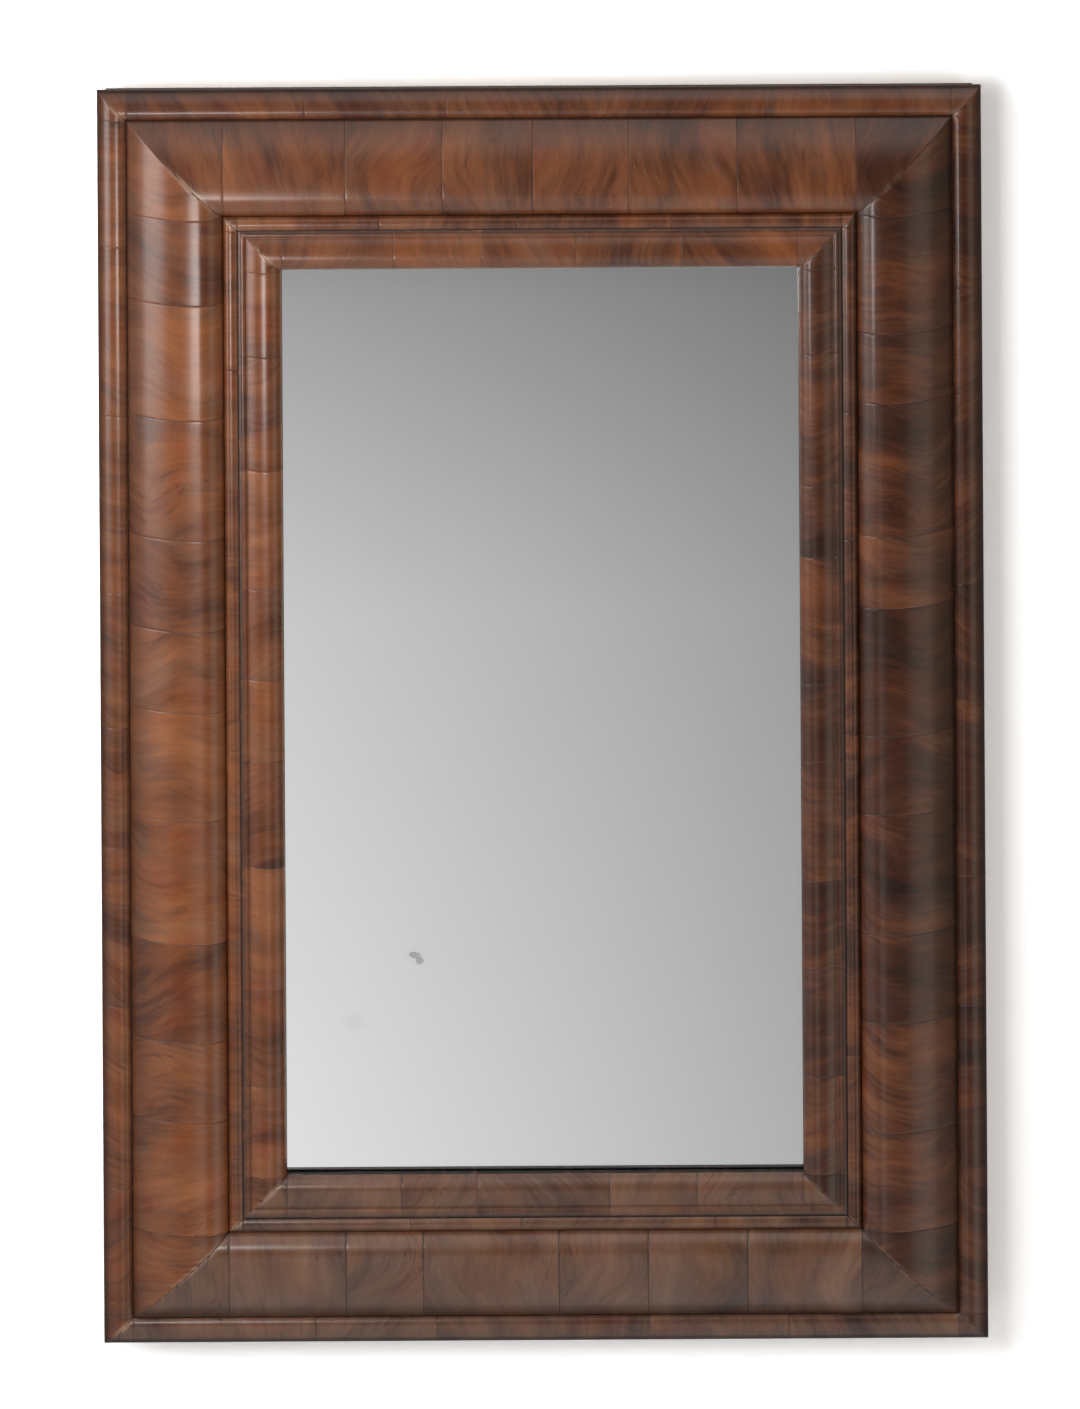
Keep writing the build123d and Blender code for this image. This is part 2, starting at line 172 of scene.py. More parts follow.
class WalnutFigure(bpy.types.PropertyGroup):
    """How strong each layer of the walnut's figure is, and its polish."""

    bend: length_setting("Bend", "How far the figure wanders along the moulding", 0.05)
    zones: share_setting("Zones", "Contrast of the broad light and dark zones", 0.75)
    blotches: share_setting("Blotches", "Contrast of the blotches within a section", 0.78)
    streaks: share_setting("Streaks", "Contrast of the narrow streaks", 0.40)
    fibres: share_setting("Fibres", "Contrast of the finest fibres", 0.12)
    orange_patches: share_setting("Orange patches", "Strength of the orange patches", 0.8)
    dull_patches: share_setting("Dull patches", "Strength of the dull patches", 0.45)
    maroon_patches: share_setting("Maroon patches", "Strength of the maroon patches", 0.6)
    dark_lines: share_setting("Dark lines", "Strength of the thin dark lines of figure", 0.6)
    open_pores: share_setting("Open pores", "Strength of the dark pores", 0.25)
    under_polish: share_setting(
        "Roughness under the polish", "Least roughness of the wood itself", 0.28)
    polish_roughness: share_setting(
        "Roughness of the polish", "Roughness of the waxed polish", 0.23)


class BackColours(bpy.types.PropertyGroup):
    """Colours of the bare wood, nails and hangers behind."""

    carcass_wood: colour_setting(
        "Carcass wood", "Early wood of carcass, cores, grounds and blocks", (0.34, 0.215, 0.115))
    carcass_rings: colour_setting("Carcass rings", "Late wood of the same", (0.20, 0.112, 0.055))
    board_wood: colour_setting(
        "Backboard wood", "Early wood of the backboards", (0.30, 0.188, 0.100))
    board_rings: colour_setting(
        "Backboard rings", "Late wood of the backboards", (0.165, 0.094, 0.047))
    peg_wood: colour_setting("Peg wood", "Early wood of the oak pegs", (0.17, 0.10, 0.05))
    peg_rings: colour_setting("Peg rings", "Late wood of the oak pegs", (0.08, 0.045, 0.022))
    wash: colour_setting(
        "Side wash", "Dark wash on the outer faces of the carcass", (0.030, 0.016, 0.010))
    iron: colour_setting("Iron", "Nail iron where it is rubbed", (0.10, 0.075, 0.06))
    iron_rust: colour_setting("Iron rust", "Nail iron where it is browned", (0.035, 0.024, 0.018))
    brass: colour_setting("Brass", "Hanger brass where it is rubbed", (0.46, 0.31, 0.125))
    brass_tarnish: colour_setting(
        "Brass tarnish", "Hanger brass where it is tarnished", (0.24, 0.15, 0.06))


class StageSizes(bpy.types.PropertyGroup):
    """Camera, lamps, wall and floor."""

    scale: bpy.props.FloatProperty(
        name="Metres a pixel", description="Real size of one pixel of the picture",
        default=0.00069, precision=6)
    picture_height: bpy.props.IntProperty(
        name="Picture height", description="Height of the picture in pixels", default=1409)
    elevation: bpy.props.FloatProperty(
        name="Elevation", description="How far above the mirror the camera looks from",
        default=math.radians(19), subtype="ANGLE")
    roll: bpy.props.FloatProperty(
        name="Roll", description="How far the mirror hangs out of true in the picture",
        default=math.radians(0.35), subtype="ANGLE")
    camera_distance: length_setting("Camera distance", "From the mirror to the camera", 3.0)
    floor_drop: length_setting("Floor", "Height of the floor under the mirror's middle", -1.25)
    window_power: power_setting("Window lamp", "Power of the tall lamp on the left", 20.0)
    key_power: power_setting("Key lamp", "Power of the soft lamp in front", 10.0)
    fill_power: power_setting("Fill lamp", "Power of the low, warm lamp on the right", 3.2)
    glint_power: power_setting(
        "Glint lamp", "Power of the small lamp seen in the left cushion's crest", 0.95)
    back_power: power_setting(
        "Back lamp", "Power of the lamp behind the wall, for views of the back", 50.0)
    ambient: share_setting("Ambient", "Strength of the even light of the room", 0.30)


def sizes():
    return bpy.context.scene.mirror_moulding


def colours():
    return bpy.context.scene.mirror_walnut


def figure():
    return bpy.context.scene.mirror_figure


def back_colours():
    return bpy.context.scene.mirror_back


# Shapes

def crest_curve(foot, crest, count):
    """Points from a foot to a crest on the circle through both that is level at the crest.

    With run r across and rise h, the radius is (r*r + h*h) / 2h and the arc turns through twice
    the angle whose tangent is h / r.
    """
    run = crest[0] - foot[0]
    rise = crest[1] - foot[1]
    radius = (run**2 + rise**2) / (2 * rise)
    turn = 2 * math.atan2(rise, abs(run))
    angle = np.linspace(turn, 0, count)
    across = crest[0] - math.copysign(1, run) * radius * np.sin(angle)
    above = crest[1] - radius * (1 - np.cos(angle))
    return np.column_stack([across, above])


def over_crest(foot, crest, far_foot, count):
    """Points up one side of a crest and down the other, each crest point once."""
    up = crest_curve(foot, crest, count)
    down = crest_curve(far_foot, crest, count)[::-1]
    return np.concatenate([up, down[1:]])


def outer_bead_profile():
    """Short straight edge, then an arc up to the crest and another down to the quirk."""
    size = sizes()
    edge = (0, CARCASS_FACE + size.bead_edge)
    crest = (size.bead_crest_across, BEAD_CREST)
    quirk = (BEAD_END, CARCASS_FACE + size.quirk_height)
    top = over_crest(edge, crest, quirk, 14)
    under = np.array([(BEAD_END, CARCASS_FACE), (0, CARCASS_FACE)])
    return top, under


def cushion_profile():
    """Two arcs that meet level at the crest, over a like pair that lies the veneer lower."""
    size = sizes()
    crest_across = BEAD_END + size.cushion_crest_across
    outer = (BEAD_END, CARCASS_FACE + size.quirk_height)
    crest = (crest_across, CUSHION_CREST)
    inner = (CUSHION_END, CARCASS_FACE + size.cushion_inner_foot)
    top = over_crest(outer, crest, inner, 26)
    under_outer = (BEAD_END, VENEER_LOW)
    under_crest = (crest_across, CUSHION_CREST - size.veneer)
    under_inner = (CUSHION_END, CARCASS_FACE + size.cushion_inner_foot - 2 * size.veneer)
    under = over_crest(under_outer, under_crest, under_inner, 10)[::-1]
    return top, under


def inner_bead_profile():
    """Two arcs that meet level at the crest, halfway across the bead."""
    size = sizes()
    outer = (CUSHION_END, GROUND_FACE + size.inner_bead_outer)
    crest = ((CUSHION_END + INNER_BEAD_END) / 2, INNER_BEAD_CREST)
    inner = (INNER_BEAD_END, GROUND_FACE + size.inner_bead_inner)
    top = over_crest(outer, crest, inner, 10)
    under = np.array([(INNER_BEAD_END, GROUND_FACE), (CUSHION_END, GROUND_FACE)])
    return top, under


def sight_profile():
    """Flat fillet with a broken edge, a narrow groove, and two arcs that meet at the crest."""
    size = sizes()
    fillet_end = INNER_BEAD_END + size.fillet_width
    fillet = GROUND_FACE + size.fillet_height
    quirk = (fillet_end + size.sight_quirk_width, GROUND_FACE + size.sight_quirk_height)
    crest = (INNER_BEAD_END + size.sight_crest_across, SIGHT_CREST)
    lip = (SIGHT_END, GROUND_FACE + size.sight_lip)
    curve = over_crest(quirk, crest, lip, 16)
    broken_across, broken_down = 0.4 * MM, 0.3 * MM
    flat = np.array([
        (INNER_BEAD_END, fillet), (fillet_end - broken_across, fillet),
        (fillet_end, fillet - broken_down), (fillet_end, quirk[1]),
    ])
    under = np.array([(SIGHT_END, GROUND_FACE), (INNER_BEAD_END, GROUND_FACE)])
    return np.concatenate([flat, curve]), under


def side_length(side):
    """Whole length of a side of the frame, from outer edge to outer edge."""
    return 2 * (HALF_WIDTH if side in ("bottom", "top") else HALF_HEIGHT)


def to_frame(side, along, across, above):
    """Point of a side from its distance along, across and above, as x, y, z arrays."""
    reach = HALF_HEIGHT if side in ("bottom", "top") else HALF_WIDTH
    inward = across - reach
    turned = {
        "bottom": (along, inward),
        "left": (inward, -along),
        "top": (-along, -inward),
        "right": (-inward, along),
    }
    x, z = turned[side]
    return np.stack([x, -above + 0 * x, z], axis=-1)


def joint_places(side, inner_edge, section):
    """Cross-grain joints along a side: one at each inner corner, and uneven ones between."""
    span = side_length(side) - 2 * inner_edge
    count = max(1, round(span / section))
    pitch = span / count
    number = np.arange(1, count)
    phase = 1 + SIDES.index(side)
    shift = sizes().section_unevenness * pitch * np.sin(2.4 * number * phase)
    return [-span / 2, *(-span / 2 + pitch * number + shift), span / 2]


def smooth_noise(a, b, seed):
    """Gentle unevenness in -1 to 1: the mean of four sine waves that cross at odd angles."""
    rng = np.random.default_rng(seed)
    total = 0 * a
    for _ in range(4):
        angle, phase = rng.uniform(0, 2 * math.pi, 2)
        wave = rng.uniform(90, 260)
        total = total + np.sin(wave * (a * math.cos(angle) + b * math.sin(angle)) + phase)
    return total / 4


def new_mesh(name, points, faces, smooth):
    """Mesh object at the origin from a point array and a list of face arrays."""
    mesh = bpy.data.meshes.new(name)
    mesh.from_pydata(points.reshape(-1, 3), [], [f for block in faces for f in block.tolist()])
    flags = np.concatenate([np.full(len(block), on) for block, on in zip(faces, smooth)])
    mesh.polygons.foreach_set("use_smooth", flags)
    mesh.update()
    piece = bpy.data.objects.new(name, mesh)
    bpy.context.scene.collection.objects.link(piece)
    return piece


def add_attribute(piece, name, values):
    """Put one number or one vector on each point of a piece."""
    kind = "FLOAT_VECTOR" if values.ndim == 2 else "FLOAT"
    field = "vector" if values.ndim == 2 else "value"
    attribute = piece.data.attributes.new(name, kind, "POINT")
    attribute.data.foreach_set(field, values.astype(np.float32).ravel())


def section_grid(loop_across, start, end, side, gap):
    """Where a section's rings lie along its side, as a ring by loop array.

    Ring positions bunch up at both joints. At a mitred end each loop point stops on the 45 degree
    plane through the frame's corner, so its place there is the half length less its distance in.
    """
    half = side_length(side) / 2
    low = np.full_like(loop_across, start + gap / 2)
    high = np.full_like(loop_across, end - gap / 2)
    if start <= -half:
        low = loop_across - half + gap
    if end >= half:
        high = half - loop_across - gap
    shortest, ring_pitch = 10 * MM, 7 * MM
    length = max(end - start, shortest)
    ends = np.array([0, 0.25, 0.7, 1.6, 3.0]) * MM / length
    middle = np.linspace(ends[-1], 1 - ends[-1], max(4, round(length / ring_pitch)))
    share = np.concatenate([ends[:-1], middle, 1 - ends[:-1][::-1]])
    return low + share[:, None] * (high - low)


def moulding(name, side, profile, section, tones, shade_and_soil, seed):
    """One mitred length of moulding laid in cross-grain sections.

    Each section is a closed ring of profile points carried along the side. Its face sinks a hair
    at each joint, by a bell curve of the distance to it, and waves by a tenth of a millimetre.
    Every point carries where it lies in the grain, its section's tone and how much dirt, wear,
    painted shade and painted highlight the place gets. The grain leans a little in each section.
    Painted shade, with some dirt, darkens the outer foot, by a bell curve of the distance from it,
    and wear pales the crest by the mitres, strongest on the left, where the extra paleness is a
    painted highlight.
    """
    top, under = profile
    loop = np.concatenate([top, under])
    count = len(loop)
    steps = np.linalg.norm(np.diff(top, axis=0), axis=1)
    face_run = np.concatenate([[0], np.cumsum(steps)])
    run = np.concatenate([face_run, np.full(len(under), face_run[-1])])
    is_face = np.arange(count) < len(top)
    is_face[[0, len(top) - 1]] = False
    width = face_run[-1]
    from_quirk = np.minimum(run, width - run)
    height = loop[:, 1]
    crest_share = np.clip((height - height.min()) / np.ptp(height), 0, 1)
    half = side_length(side) / 2
    inner_edge = loop[:, 0].max()
    cuts = [-half, *joint_places(side, inner_edge, section), half]
    overhangs = loop[:, 0].min() == 0 or inner_edge == SIGHT_END
    gap = 0.0 if overhangs else sizes().hairline
    joint_dirt = 0.9 if side == "bottom" else 0.4
    inner_share = np.clip(run / width, 0, 1)
    joint_reach = (0.25 + 0.35 * inner_share) * MM
    sink_depth, sink_reach, wave_depth = 0.10 * MM, 0.45 * MM, 0.06 * MM
    quirk_reach, mitre_reach = 0.55 * MM, 2.2 * MM
    rng = np.random.default_rng(seed)
    points, quads, caps = [], [], []
    fields = {field: [] for field in ("grain", "tone", "dirt", "shade_and_soil", "wear_and_highlight")}
    # Painted shade, with some dirt, on the outer foot: a bell curve of the distance from it
    shade_and_soil_depth, shade_and_soil_reach = shade_and_soil
    shaded_and_soiled = shade_and_soil_depth * np.exp(-((run / shade_and_soil_reach) ** 2))
    offset = 0
    for number, (start, end) in enumerate(zip(cuts, cuts[1:])):
        along = section_grid(loop[:, 0], start, end, side, gap)
        rings = len(along)
        across = np.broadcast_to(loop[:, 0], along.shape)
        to_joint = np.minimum(along - along[0], along[-1] - along)
        sink = sink_depth * np.exp(-((to_joint / sink_reach) ** 2)) + rng.uniform(0, 0.07) * MM
        wave = wave_depth * (1 + smooth_noise(along, across, seed * 31 + number))
        above = loop[:, 1] - is_face * (sink + wave)
        placed = to_frame(side, along, across, above)
        points.append(placed.reshape(-1, 3))
        ring, spot = np.meshgrid(np.arange(rings - 1), np.arange(count), indexing="ij")
        after = (spot + 1) % count
        corners = [ring * count + spot, (ring + 1) * count + spot,
                   (ring + 1) * count + after, ring * count + after]
        quads.append(offset + np.stack(corners, axis=-1).reshape(-1, 4))
        caps.append(offset + np.arange(count)[None, :])
        caps.append(offset + (rings - 1) * count + np.arange(count)[None, ::-1])
        offset += rings * count
        seed_place = rng.uniform(0, 40, 2)
        depth = np.broadcast_to(run, along.shape)
        lean = rng.uniform(-0.22, 0.22)
        place = [along + lean * depth + seed_place[0], depth, 0 * along + seed_place[1]]
        fields["grain"].append(np.stack(place, axis=-1).reshape(-1, 3))
        section_tone = tones[number % len(tones)] + rng.uniform(-0.03, 0.03)
        fields["tone"].append(np.full(along.size, section_tone))
        in_quirk = np.exp(-((from_quirk / quirk_reach) ** 2)) * np.ones(along.shape)
        at_joint = joint_dirt * (0.2 + 0.8 * inner_share)
        at_joint = at_joint * np.exp(-((to_joint / joint_reach) ** 2))
        fields["dirt"].append(np.maximum(in_quirk, at_joint).ravel())
        fields["shade_and_soil"].append(np.tile(shaded_and_soiled, rings))
        # Wear, and a painted highlight on the lit left side: crests by the mitres pale, far more on
        # the left
        mitre_gap = half - np.abs(along) - across
        left_highlight_share = np.where(placed[..., 0] < 0, 0.85, 0.25)
        worn_and_highlight = left_highlight_share * np.exp(-((mitre_gap / mitre_reach) ** 2)) * crest_share**8
        fields["wear_and_highlight"].append(worn_and_highlight.ravel())
    shape = np.concatenate(points)
    faces = [np.concatenate(quads)] + caps
    piece = new_mesh(name, shape, faces, [True] + [False] * len(caps))
    for field, values in fields.items():
        add_attribute(piece, field, np.concatenate(values))
    return piece


# Materials

class Graph:
    """One material's node tree, with short calls to add and join nodes."""

    def __init__(self, name):
        self.material = bpy.data.materials.new(name)
        self.material.use_nodes = True
        self.tree = self.material.node_tree
        self.tree.nodes.clear()
        self.output = self.tree.nodes.new("ShaderNodeOutputMaterial")

    def join(self, source, target):
        self.tree.links.new(source, target)

    def add(self, kind, options=None, **inputs):
        """A node with its options set, and its inputs set or joined by name or number."""
        node = self.tree.nodes.new("ShaderNode" + kind)
        for key, value in (options or {}).items():
            setattr(node, key, value)
        for key, value in inputs.items():
            key = int(key[1:]) if key[1:].isdigit() else key.replace("_", " ")
            if isinstance(value, bpy.types.NodeSocket):
                self.join(value, node.inputs[key])
            else:
                node.inputs[key].default_value = value
        return node

    def math(self, operation, a, b=0.0, clamp=False):
        return self.add("Math", {"operation": operation, "use_clamp": clamp}, _0=a, _1=b).outputs[0]

    def times(self, a, b, clamp=False):
        return self.math("MULTIPLY", a, b, clamp)

    def plus(self, a, b, clamp=False):
        return self.math("ADD", a, b, clamp)

    def minus(self, a, b):
        return self.math("SUBTRACT", a, b)

    def scale_and_add(self, a, factor, b):
        """a times factor plus b."""
        return self.add("Math", {"operation": "MULTIPLY_ADD"}, _0=a, _1=factor, _2=b).outputs[0]

    def mix(self, factor, a, b, blend="MIX"):
        node = self.add("Mix", {"data_type": "RGBA", "blend_type": blend}, _0=factor, _6=a, _7=b)
        return node.outputs[2]

    def ramp(self, factor, stops):
        """Colour ramp through (place, colour) stops."""
        node = self.add("ValToRGB", None, Fac=factor)
        elements = node.color_ramp.elements
        while len(elements) < len(stops):
            elements.new(0.5)
        for element, (place, colour) in zip(elements, stops):
            element.position = place
            element.color = rgba(colour)
        return node.outputs["Color"]

    def step(self, factor, low, high):
        """0 below low, 1 above high, smooth between."""
        node = self.add("MapRange", {"interpolation_type": "SMOOTHSTEP"},
                        Value=factor, From_Min=low, From_Max=high)
        return node.outputs["Result"]

    def noise(self, vector, scale, detail=4.0, roughness=0.55, distortion=0.0):
        node = self.add("TexNoise", None, Vector=vector, Scale=scale, Detail=detail,
                        Roughness=roughness, Distortion=distortion)
        return node.outputs["Fac"]

    def tinted(self, factor, colour, shade):
        """The colour multiplied by a shade, as far as the factor says."""
        return self.mix(factor, colour, self.mix(1.0, colour, shade, "MULTIPLY"))

    def inverse(self, value):
        return self.minus(1.0, value)

    def stretched(self, vector, scale):
        return self.add("Mapping", None, Vector=vector, Scale=scale).outputs["Vector"]

    def attribute(self, name, output="Fac"):
        return self.add("Attribute", {"attribute_name": name}).outputs[output]

    def finish(self, shader):
        self.join(shader, self.output.inputs["Surface"])
        return self.material


def rgba(colour):
    return (*tuple(colour)[:3], 1.0)


# Scales of the walnut's noises in waves a metre, along the moulding and across it
SLOW_BEND = (7, 17, 1)
QUICK_BEND = (48, 40, 1)
ZONES = (13, 6, 1)
BLOTCHES = (52, 19, 1)
STREAKS = (300, 26, 1)
FIBRES = (1500, 70, 1)
ORANGE_PATCHES = (24, 15, 1)
DULL_PATCHES = (34, 21, 1)
MAROON_PATCHES = (41, 33, 1)
DARK_LINES = (62, 15, 1)
LINED_PLACES = (23, 14, 1)
PORES = (2600, 150, 1)
CRUMBS = (120, 300, 1)


def walnut(name, shade, dull):
    """Old polished walnut whose fibres run across the moulding.

    Zones, blotches, streaks and fibres are finer and finer noises on the grain place, more and
    more drawn out across the moulding and bent by a slow warp. With the section's tone, less the
    side's shade, they choose a place on the colour ramp; on the right that shade is partly painted
    shade. Other noises turn patches orange, dull or maroon. Thin dark lines of figure cross a few
    places, dirt gathers in quirks and joints, painted shade with some dirt darkens the outer feet,
    and mitres are rubbed pale, partly as a painted highlight.
    """
    tint = colours()
    layer = figure()
    g = Graph(name)
    grain = g.attribute("grain", "Vector")

    def drawn(place, scale, *detail):
        return g.noise(g.stretched(place, scale), 1.0, *detail)

    def patches(place, scale, detail, low, high, amount):
        return g.times(g.step(drawn(place, scale, detail), low, high), amount)

    slow = drawn(grain, SLOW_BEND, 0.0)
    quick = drawn(grain, QUICK_BEND, 1.0)
    shift = g.add("CombineXYZ", None, X=g.scale_and_add(quick, 0.12, slow)).outputs[0]
    bent = g.add("VectorMath", {"operation": "MULTIPLY_ADD"},
                 _0=shift, _1=(layer.bend, 0, 0), _2=grain).outputs[0]

    streaks = drawn(bent, STREAKS, 4.0, 0.62)
    # The side's shade, on the right partly painted shade, moves the whole side along the colour
    # ramp
    value = g.plus(g.attribute("tone"), -shade)
    for noise, amount in ((drawn(bent, ZONES, 2.0), layer.zones),
                          (drawn(bent, BLOTCHES, 4.0), layer.blotches),
                          (streaks, layer.streaks),
                          (drawn(bent, FIBRES, 2.0), layer.fibres)):
        value = g.scale_and_add(g.minus(noise, 0.5), amount, value)
    wood = g.ramp(value, [
        (0.05, tint.dark), (0.30, tint.maroon), (0.55, tint.red_brown), (0.95, tint.golden)])
    orange = patches(bent, ORANGE_PATCHES, 3.0, 0.46, 0.66, layer.orange_patches)
    wood = g.tinted(orange, wood, rgba(tint.orange_shift))
    dulled = patches(bent, DULL_PATCHES, 3.0, 0.50, 0.68, layer.dull_patches)
    wood = g.tinted(g.plus(dulled, dull, True), wood, rgba(tint.dull_shift))
    reddened = patches(grain, MAROON_PATCHES, 2.0, 0.52, 0.70, layer.maroon_patches)
    wood = g.tinted(reddened, wood, rgba(tint.red_shift))
    growth = drawn(bent, DARK_LINES, 3.0, 0.5, 0.8)
    from_line = g.math("ABSOLUTE", g.minus(growth, 0.5))
    line_width = 0.016
    line = g.inverse(g.step(from_line, 0.0, line_width))
    lined = patches(grain, LINED_PLACES, 2.0, 0.52, 0.66, layer.dark_lines)
    wood = g.tinted(g.times(line, lined), wood, rgba(tint.line_shift))
    pore = g.step(drawn(grain, PORES, 2.0), 0.62, 0.72)
    wood = g.mix(g.times(pore, layer.open_pores), wood, rgba(tint.dark))
    # Rubbed wear by the mitres pales the wood; on the left much of it is a painted highlight
    rubbed = g.times(g.attribute("wear_and_highlight"), g.step(streaks, 0.3, 0.6), True)
    wood = g.mix(rubbed, wood, rgba(tint.worn_and_highlight))
    # Painted shade, with some old dirt, darkens the outer feet of the bands
    wood = g.tinted(g.attribute("shade_and_soil"), wood, rgba(tint.shade_and_soil_shift))
    crumbs = g.step(drawn(grain, CRUMBS, 3.0), 0.2, 0.5)
    dirty = g.times(g.attribute("dirt"), crumbs, True)
    wood = g.mix(dirty, wood, rgba(tint.dirt))
    rough = g.plus(g.times(streaks, 0.2), g.times(dirty, 0.4))
    rough = g.plus(rough, layer.under_polish)
    relief = g.minus(g.times(streaks, 0.5), g.times(pore, 0.8))
    bump = g.add("Bump", None, Strength=0.25, Distance=0.04 * MM, Height=relief)
    shader = g.add("BsdfPrincipled", None, Base_Color=wood, Roughness=rough,
                   Normal=bump.outputs["Normal"])
    shader.inputs["Specular IOR Level"].default_value = 0.2
    shader.inputs["Coat Weight"].default_value = 1.0
    shader.inputs["Coat Roughness"].default_value = layer.polish_roughness
    return g.finish(shader.outputs[0])


def knots_in(box, count, seed):
    """Middle and radius of a few knots in a board's broad face."""
    rng = np.random.default_rng(seed)
    low, high = np.array(box[0]), np.array(box[1])
    middles = low + rng.uniform(0.12, 0.88, (count, 3)) * (high - low)
    return [(m[0], m[2], r) for m, r in zip(middles, rng.uniform(0.004, 0.009, count))]


def softwood(name, long_axis, box, base, dark, seed=1, knots=0):
    """Bare old softwood, flat sawn from a log whose heart lies in front of the board.

    Growth rings are shells round a long ellipsoid: the distance from its middle, counted in
    rings, gives long arches along the board, with a dark late line in each ring. Knots part the
    rings round them. The board darkens towards the edges of its box, painted shade with grime
    where the boards meet, and broad stains and faint saw marks cross it. The outer faces of the
    carcass carry a dark wash.
    """
    rng = np.random.default_rng(seed)
    low, high = np.array(box[0]), np.array(box[1])
    lengthwise = "xyz".index(long_axis)
    heart_distance = 40 * MM
    rings_along, rings_across = 11, 190
    ring_wander, knot_push, knot_reach = 5.0, 3.0, 4.5
    g = Graph(name)
    place = g.add("TexCoord").outputs["Object"]
    parts = g.add("SeparateXYZ", None, Vector=place).outputs

    def drawn(long, short):
        scale = [short, short, short]
        scale[lengthwise] = long
        return scale

    def from_middle(middle, scale):
        shift = [-m * s for m, s in zip(middle, scale)]
        moved = g.add("Mapping", None, Vector=place, Scale=scale, Location=shift).outputs[0]
        return g.add("VectorMath", {"operation": "LENGTH"}, _0=moved).outputs["Value"]

    heart = (low + high) / 2 + rng.uniform(-0.3, 0.3, 3) * (high - low)
    heart[1] = low[1] - heart_distance
    heart[lengthwise] = high[lengthwise] + rng.uniform(0.05, 0.2)
    rings = from_middle(heart, drawn(rings_along, rings_across))
    warp = g.noise(g.stretched(place, drawn(2, 18)), 1.0, 2.0)
    rings = g.plus(rings, g.times(warp, ring_wander))
    knotted = None
    for x, z, radius in knots_in(box, knots, seed + 7):
        away = from_middle((x, 0, z), (1 / radius, 0, 1 / radius))
        push = g.inverse(g.step(away, 0.0, knot_reach))
        rings = g.plus(rings, g.times(push, knot_push))
        knot = g.inverse(g.step(away, 0.75, 1.15))
        knotted = knot if knotted is None else g.math("MAXIMUM", knotted, knot)
    late = g.math("FRACT", rings)
    pale = [c * 1.08 for c in base]
    wood = g.ramp(late, [(0.0, base), (0.45, pale), (0.90, dark), (1.0, base)])
    fibres = g.noise(g.stretched(place, drawn(14, 800)), 1.0, 3.0, 0.6)
    fibre_shade = g.ramp(fibres, [(0.3, (0.55, 0.52, 0.5)), (0.65, (1.25, 1.25, 1.25))])
    wood = g.tinted(0.5, wood, fibre_shade)
    if knotted is not None:
        wood = g.mix(g.times(knotted, 0.8), wood, rgba([c * 0.5 for c in dark]))
    stain = g.step(g.noise(place, 5.0, 4.0), 0.42, 0.72)
    wood = g.mix(g.times(stain, 0.4), wood, rgba([c * 0.55 for c in base]))
    sawn = g.noise(g.stretched(place, drawn(240, 5)), 1.0, 2.0)
    wood = g.mix(g.times(g.step(sawn, 0.5, 0.75), 0.16), wood, rgba(dark))
    # Painted shade, with grime: each board darkens within about two centimetres of the edges of its
    # box, where it meets other parts
    edge = None
    for axis in (0, 2):
        near = g.minus(parts[axis], low[axis])
        far = g.minus(high[axis], parts[axis])
        both = g.math("MINIMUM", near, far)
        edge = both if edge is None else g.math("MINIMUM", edge, both)
    frayed = g.noise(place, 70.0, 4.0)
    clear_of_painted_edge_shade = g.step(g.plus(edge, g.times(frayed, 16 * MM)), 6 * MM, 20 * MM)
    wood = g.mix(g.times(g.inverse(clear_of_painted_edge_shade), 0.55), wood, rgba([c * 0.45 for c in dark]))
    for axis, face in ((0, CARCASS_SIDE), (2, CARCASS_TOP)):
        out = g.plus(g.math("ABSOLUTE", parts[axis]), g.times(frayed, 4 * MM))
        wash = g.step(out, face + 0.5 * MM, face + 1.1 * MM)
        wood = g.mix(g.times(wash, 0.85), wood, rgba(back_colours().wash))
    height = g.plus(g.times(fibres, 0.6), g.times(sawn, 0.8))
    bump = g.add("Bump", None, Strength=0.6, Distance=0.15 * MM, Height=height)
    shader = g.add("BsdfPrincipled", None, Base_Color=wood, Roughness=0.8,
                   Normal=bump.outputs["Normal"])
    return g.finish(shader.outputs[0])


def metal(name, base, tarnish, roughness):
    """Dull metal with darker tarnish in patches and fine scratches in its sheen."""
    g = Graph(name)
    place = g.add("TexCoord").outputs["Object"]
    patches = g.step(g.noise(place, 420.0, 5.0, 0.65), 0.3, 0.75)
    scratches = g.noise(g.stretched(place, (4000, 900, 300)), 1.0, 2.0)
    colour = g.mix(patches, rgba(base), rgba(tarnish))
    rough = g.plus(g.times(patches, 0.25), g.scale_and_add(scratches, 0.12, roughness))
    bump = g.add("Bump", None, Strength=0.3, Distance=0.05 * MM, Height=patches)
    shader = g.add("BsdfPrincipled", None, Base_Color=colour, Metallic=1.0, Roughness=rough,
                   Normal=bump.outputs["Normal"])
    return g.finish(shader.outputs[0])


def paint(piece, material):
    """Give a piece or CAD node one material."""
    piece.data.materials.clear()
    piece.data.materials.append(material)


def settle(piece, slot, *nodes, body=FRAME_BODY):
    """Finish a new piece: hide the nodes that it stands for and hang it on the body that it rides;
    its slot is not used.
    """
    if nodes:
        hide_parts(*nodes)
    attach(piece, body)


def lay_moulding(stem, profile, section, tones, shade_and_soil, seed):
    """The four mitred sides of one band, each with its own walnut."""
    walnuts = side_walnuts(stem)
    for number, side in enumerate(SIDES):
        piece = moulding(f"{stem}_{side}_walnut", side, profile, section, tones[side], shade_and_soil,
                         seed + number)
        paint(piece, walnuts[side])
        settle(piece, "walnut", f"{stem}_{side}")


